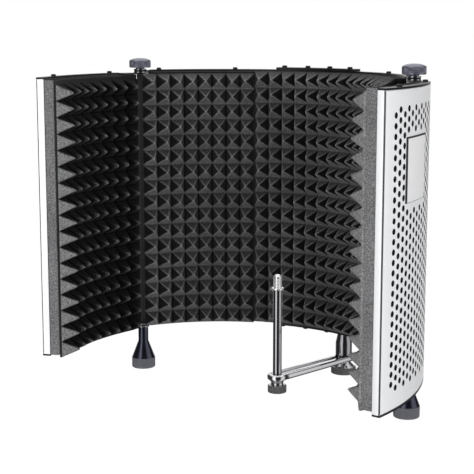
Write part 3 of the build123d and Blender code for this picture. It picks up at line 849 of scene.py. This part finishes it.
# Profiles: (radius, z)
KNOB_PROFILE = [
    (0, 366.6), (4.05, 366.6), (4.05, 358.5), (5.0, 358.5), (5.25, 358.8), (5.25, 360.0),
    (11.5, 360.0),
    # rounded lower corner
    *((11.6 + 0.9 * math.cos(math.radians(-80 + 75 * k / 4)),
       360.9 + 0.9 * math.sin(math.radians(-80 + 75 * k / 4))) for k in range(5)),
    (12.5, 361.2), (12.5, 367.4), (12.35, 368.0), (11.9, 368.5), (10.6, 369.2), (9.0, 369.9),
    (7.0, 370.45), (4.5, 370.85), (2.2, 370.98), (0, 371.0)]
FOOT_PROFILE = [
    (0, 0.0), (13.2, 0.0), (13.8, 0.5), (14.0, 1.2), (14.0, 12.2), (13.7, 12.9), (13.35, 13.6),
    (6.5, 31.2), (6.15, 32.4), (6.0, 33.4), (6.0, 49.2), (5.8, 49.5), (4.05, 49.5),
    (4.05, 15.4), (0, 15.4)]
ROD_PROFILE = [
    (0, 2.0), (2.6, 2.0), (3.0, 2.4), (3.0, 21.4), (4.7, 21.4), (5.0, 21.7), (5.0, 117.2),
    (4.85, 117.7), (4.4, 118.0), (2.55, 118.0), (2.55, 110.0), (0, 110.0)]
TIP_PROFILE = [
    (0, 110.5), (2.5, 110.5), (2.5, 118.02), (6.4, 118.02), (6.7, 118.35), (6.7, 119.7),
    (6.4, 120.0), (4.7625, 120.0), (4.7625, 131.6), (4.3, 132.9), (3.5, 134.1), (2.4, 134.9),
    (1.2, 135.25), (0, 135.3)]
MIC_NUT_PROFILE = [
    (0, 1.2), (3.05, 1.2), (3.05, 0.9), (9.6, 0.0), (10.2, 0.25), (10.6, 0.8), (10.6, 7.8),
    (10.3, 8.35), (9.8, 8.6), (7.7, 8.7), (7.1, 9.2), (6.95, 10.2), (7.1, 11.4), (7.7, 12.6),
    (8.5, 13.5), (8.8, 14.1), (8.6, 14.38), (3.05, 14.38), (3.05, 14.0)]
STAND_NUT_PROFILE = [
    (0, 1.2), (3.05, 1.2), (3.05, 0.9), (13.8, 0.0), (14.5, 0.3), (14.8, 0.9), (14.8, 7.5),
    (14.6, 8.1), (14.2, 8.4), (13.7, 8.6), (12.4, 9.4), (8.7, 12.9), (8.2, 13.6),
    (8.1, 14.38), (3.05, 14.38), (3.05, 14.0)]
STAND_PROFILE = [
    (3.05, 22.4), (9.3, 22.4), (9.75, 22.8), (9.75, 37.3), (9.6, 38.3), (9.2, 39.6),
    (7.75, 46.6), (7.5, 48.0), (7.35, 50.6), (7.1, 50.98), (3.05, 50.98)]
WASHER_PROFILE = [
    (3.05, 21.42), (9.3, 21.42), (9.6, 21.6), (9.6, 22.2), (9.3, 22.38), (3.05, 22.38)]

for side, sign in SIDES:
    at = (MID + sign * HINGE, 0.0)
    turned("knurled_hinge_knob_" + side, KNOB_PROFILE, at, [KNOB], side + "_knob",
           "hinge_knob_" + side,
           knurl=Knurl(low=361.2, high=367.4, starts=58, depth=0.42, step=0.22))
    turned("knurled_foot_" + side, FOOT_PROFILE, at, [FOOT, FOOT_KNURL], side + "_foot",
           "foot_" + side, knurl_rows=4,
           knurl=Knurl(low=1.2, high=12.2, starts=60, depth=0.36, step=0.24))
turned("mic_post_rod", ROD_PROFILE, MIC, [CHROME], "post", "mic_post")
turned("mic_thread_tip", TIP_PROFILE, MIC, [BRIGHT], "post", "mic_tip",
       segments=64, thread=Thread(low=120.0, high=131.6, pitch=1.5875, depth=0.75, step=0.16))
turned("mic_thumb_nut", MIC_NUT_PROFILE, MIC, [NUT, NUT_KNURL], "mic_nut", "mic_knob",
       knurl_rows=8,
       knurl=Knurl(low=0.8, high=7.8, starts=50, depth=0.34, step=0.22))
turned("stand_thumb_nut", STAND_NUT_PROFILE, POST, [NUT, NUT_KNURL], "arm_nut", "arm_knob",
       knurl_rows=8,
       knurl=Knurl(low=0.9, high=7.5, starts=66, depth=0.36, step=0.22))
turned("stand_post_body", STAND_PROFILE, POST, [SHADED_CHROME], "centre", "stand_post",
       closed=True)
turned("stand_washer", WASHER_PROFILE, POST, [RUBBER], "arm_pivot", "arm_washer",
       closed=True)

# ---------------------------------------------------------------- screws
SCREW_INSET = 5.0       # screw axis inside the shell radius
SOCKET_R = 1.35         # socket hexagon, centre to corner
SHANK_R = 1.5
CAP_T, BRACKET_T = 2.0, 2.5


def add_screws(b, spots, z, up, r, h):
    """Domed heads with hexagonal sockets, facing up (1) or down (-1)."""
    turn = np.arange(24) * 2 * math.pi / 24
    hexagon = (SOCKET_R / np.cos(np.mod(turn, math.pi / 3) - math.pi / 6)
               * math.cos(math.pi / 6))
    # (radius, rise) from the shank over the head into the socket
    profile = [(SHANK_R, -4.6), (SHANK_R, 0.0), (r, 0.0), (r, h * 0.45), (r * 0.97, h * 0.68),
               (r * 0.88, h * 0.86), (r * 0.72, h * 0.97), (r * 0.6, h),
               (hexagon, h), (hexagon, h - 1.2)]
    for x, y in spots:
        rings = [b.add(np.c_[x + radius * np.cos(turn), y + radius * np.sin(turn),
                             np.full(24, z + up * rise)]) for radius, rise in profile]
        for low, high in zip(rings[:-1], rings[1:]):
            b.bridge(*((low, high) if up > 0 else (high, low)))
        b.face(*rings[0][::-up])
        b.face(*rings[-1][::up])


def screw_set(name, place, radius, angles, z_low, stack, body, node, r=2.75, h=2.2):
    """Screws above and below a panel; stack is the plate thickness under their heads."""
    spots = [place(radius - SCREW_INSET, angle) for angle in angles]
    b = Build()
    add_screws(b, spots, z_low + PANEL_H + stack, 1, r, h)
    add_screws(b, spots, z_low - stack, -1, r, h)
    make(name, b, [BLACK_SCREW], body, node)


screw_set("centre_cap_screw_set", centre_map, CENTRE_OUT, (-55.7, -29.2, 35.0, 55.7), CENTRE_Z,
          CAP_T, "centre", "centre_cap_screws")
screw_set("bracket_screw_set", centre_map, CENTRE_OUT,
          [1.2 + k * 8.65 for k in (-1.5, -0.5, 0.5, 1.5)], CENTRE_Z, CAP_T + BRACKET_T,
          "centre", "bracket_screws", r=3.0, h=2.3)
for side, _ in SIDES:
    screw_set(side + "_cap_screw_set", wing_map(side), WING_OUT,
              [WING_FREE + math.degrees(s / WING_OUT) for s in (35.0, 141.0)], WING_Z,
              CAP_T, side + "_wing", side + "_cap_screws")


# ---------------------------------------------------------------- slotted arm
def arm():
    """Flat bar from the microphone post to the stand post, with one long rounded slot."""
    reach = math.hypot(POST[0] - MIC[0], POST[1] - MIC[1])
    along = np.array([(POST[0] - MIC[0]) / reach, (POST[1] - MIC[1]) / reach])
    across = np.array([-along[1], along[0]])
    half_w, nose_r, slot_r = 10.5, 11.4, 3.2
    z_low, thick = 14.4, 7.0
    z_high = z_low + thick
    round_out, round_in = 2.6, 1.4      # edge rounding outside and in the slot
    n_arc, n_straight = 28, 22

    def path(nose, nose_x, tail_x, start, half):
        """Outline: an arc round the nose, a side, the tail's half circle, the other side."""
        points = [(nose_x + nose * math.cos(math.radians(a)), nose * math.sin(math.radians(a)))
                  for a in np.linspace(start, 360 - start, n_arc + 1)]
        side_x = points[-1][0]
        points += [(side_x + (tail_x - side_x) * k / n_straight, -half)
                   for k in range(1, n_straight)]
        points += [(tail_x + half * math.cos(math.radians(a)), half * math.sin(math.radians(a)))
                   for a in np.linspace(-90, 90, n_arc + 1)]
        points += [(tail_x + (points[0][0] - tail_x) * k / n_straight, half)
                   for k in range(1, n_straight)]
        return np.array(points)

    outer = path(nose_r, 0.0, reach + 24.0 - half_w, math.degrees(math.asin(half_w / nose_r)),
                 half_w)
    inner = path(slot_r, -0.6, reach + 13.0, 90.0, slot_r)
    # cross-section: (from the outer outline?, distance from that outline, z)
    turns_out, turns_in = (np.radians(np.linspace(0, 90, n)) for n in (7, 6))
    section = [(True, round_out * (1 - math.cos(a)), z_high - round_out * (1 - math.sin(a)))
               for a in turns_out]
    section += [(False, round_in * (1 - math.sin(a)), z_high - round_in * (1 - math.cos(a)))
                for a in turns_in]
    section += [(False, round_in * (1 - math.cos(a)), z_low + round_in * (1 - math.sin(a)))
                for a in turns_in]
    section += [(True, round_out * (1 - math.sin(a)), z_low + round_out * (1 - math.cos(a)))
                for a in turns_out]
    b = Build()
    rings = []
    for out_point, in_point in zip(outer, inner):
        inward = (in_point - out_point) / np.linalg.norm(in_point - out_point)
        points = []
        for from_outer, distance, z in section:
            spot = out_point + inward * distance if from_outer else in_point - inward * distance
            points.append([*(np.array(MIC) + along * spot[0] + across * spot[1]), z])
        rings.append(b.add(points))
    for k, ring in enumerate(rings):
        b.bridge(ring, rings[(k + 1) % len(rings)])
    make("slotted_arm", b, [ARM_CHROME], "arm", "mic_arm", angle=50.0, flip=True)


arm()


# ---------------------------------------------------------------- CAD nodes that stay
def paint(node, mat, bevel=0.0):
    ob = NODES[node]
    ob.data.materials.clear()
    ob.data.materials.append(mat)
    if bevel:
        weld = ob.modifiers.new("weld", "WELD")
        weld.merge_threshold = 1e-6
        edge = ob.modifiers.new("edge", "BEVEL")
        edge.width = bevel * MM
        edge.segments = 2
        edge.limit_method = "ANGLE"
        edge.angle_limit = math.radians(50)
        edge.harden_normals = False


for node in ("centre_top_cap", "centre_bottom_cap", "left_top_cap", "left_bottom_cap",
             "right_top_cap", "right_bottom_cap", "top_bracket", "bottom_bracket"):
    paint(node, BLACK, bevel=0.25)
for node in NODES:
    if "_plate_" in node:
        paint(node, BLACK, bevel=0.15)
for node in ("hinge_rod_left", "hinge_rod_right"):
    paint(node, RUBBER)
for node in ("hinge_washers_left", "hinge_washers_right", "post_screw", "arm_stud"):
    paint(node, SHADED_CHROME)


# ---------------------------------------------------------------- floor, light, camera (metres)
def make_floor():
    """Pale floor that looks almost pure white to the camera."""
    mat, graph, shader = new_material("pale_floor")
    graph.fill(shader, {"Base Color": (0.9, 0.9, 0.9), "Roughness": 0.9,
                        "Specular IOR Level": 0.1})
    rays = graph.node("LightPath")
    glow = graph.node("Emission", {"Color": (1.0, 1.0, 1.0), "Strength": 1.02})
    blend = graph.node("MixShader")
    share = graph.math("MULTIPLY", rays.outputs["Is Camera Ray"], 0.97)
    graph.fill(blend, {0: share, 1: shader.outputs["BSDF"], 2: glow.outputs["Emission"]})
    graph.put(blend.outputs["Shader"],
              mat.node_tree.nodes["Material Output"].inputs["Surface"])
    half, middle_x = 30.0, 0.18
    mesh = bpy.data.meshes.new("floor")
    mesh.from_pydata([(-half + middle_x, -half, 0), (half + middle_x, -half, 0),
                      (half + middle_x, half, 0), (-half + middle_x, half, 0)],
                     [], [(0, 1, 2, 3)])
    mesh.materials.append(mat)
    floor = bpy.data.objects.new("floor", mesh)
    bpy.context.scene.collection.objects.link(floor)
    floor.visible_glossy = False


# Brightness round the horizon as reflections see it: (turn, brightness), 0.5 towards the
# camera, larger to the camera's right.
STUDIO_RING = [
    (0.0, 1.2), (0.05, 1.0), (0.09, 0.2), (0.17, 0.05), (0.33, 0.05), (0.355, 1.4),
    (0.43, 1.5), (0.455, 0.03), (0.60, 0.03), (0.645, 1.0), (0.755, 0.9), (0.785, 0.05),
    (0.88, 0.05), (0.91, 0.2), (0.95, 1.0), (1.0, 1.2)]
STUDIO_TURN = 34.4      # azimuth of the ring's middle from -Y towards +X, degrees


def make_world():
    """White to the camera, a ring of panels to reflections, soft grey to diffuse light."""
    world = bpy.data.worlds.new("studio")
    bpy.context.scene.world = world
    world.use_nodes = True
    world.node_tree.nodes.clear()
    graph = Graph(world.node_tree)
    output = graph.node("OutputWorld")
    rays = graph.node("LightPath")
    geometry = graph.node("NewGeometry")
    split = graph.node("SeparateXYZ", {0: geometry.outputs["Incoming"]})
    look_x, look_y, look_z = (graph.math("MULTIPLY", split.outputs[axis], -1.0)
                              for axis in "XYZ")
    azimuth = graph.math("ARCTAN2", look_x, graph.math("MULTIPLY", look_y, -1.0))
    azimuth = graph.math("SUBTRACT", azimuth, math.radians(STUDIO_TURN))
    azimuth = graph.math("WRAP", azimuth, math.pi, -math.pi)
    turn = graph.math("MULTIPLY_ADD", azimuth, 1 / (2 * math.pi), 0.5)
    studio = graph.ramp(turn, STUDIO_RING)
    overhead = graph.ramp(look_z, [(0.0, 0.0), (0.55, 0.0), (0.85, 1.0)])
    studio = graph.mix("MIX", overhead, studio, (1.2, 1.2, 1.2))
    diffuse = graph.ramp(graph.math("MULTIPLY_ADD", look_z, 0.5, 0.5),
                         [(0.0, 0.7), (0.5, 0.42), (1.0, 0.34)])
    color = graph.mix("MIX", rays.outputs["Is Glossy Ray"], diffuse, studio)
    color = graph.mix("MIX", rays.outputs["Is Camera Ray"], color, (1.0, 1.0, 1.0))
    background = graph.node("Background", {"Color": color, "Strength": 1.0})
    graph.put(background.outputs[0], output.inputs["Surface"])


# name, location, target, size, power in watts
LIGHTS = [
    ("key_right", (2.1, -1.5, 0.25), (0.2, 0.0, 0.2), (1.2, 0.9), 46.0),
    ("fill_left", (-0.7, -2.1, 0.5), (0.3, 0.0, 0.2), (1.2, 0.9), 22.0),
    ("back", (-0.5, 2.3, 0.9), (0.18, 0.1, 0.2), (1.4, 1.0), 22.0),
    ("top", (0.25, 0.1, 2.2), (0.2, 0.0, 0.2), (1.6, 1.6), 12.0)]


def make_lights():
    for name, location, target, size, power in LIGHTS:
        light = bpy.data.lights.new(name, "AREA")
        light.shape = "RECTANGLE"
        light.size, light.size_y = size
        light.energy = power
        ob = bpy.data.objects.new(name, light)
        ob.location = location
        ob.rotation_mode = "QUATERNION"
        ob.rotation_quaternion = Vector(np.subtract(target, location)).to_track_quat("-Z", "Y")
        ob.visible_glossy = False
        ob.visible_camera = False
        bpy.context.scene.collection.objects.link(ob)


def make_camera():
    lens = bpy.data.cameras.new("camera")
    lens.sensor_width = 36.0
    lens.lens = 97.1
    lens.clip_start, lens.clip_end = 0.05, 50
    ob = bpy.data.objects.new("camera", lens)
    ob.location = (MID * MM + 0.7670, -1.1794, 0.4128)
    ob.rotation_euler = (math.radians(80.438), 0, math.radians(34.387))
    bpy.context.scene.collection.objects.link(ob)
    bpy.context.scene.camera = ob


make_floor()
make_world()
make_lights()
make_camera()

view = bpy.context.scene.view_settings
view.view_transform = "Standard"
view.look = "None"
view.exposure = 0.0
view.gamma = 1.0
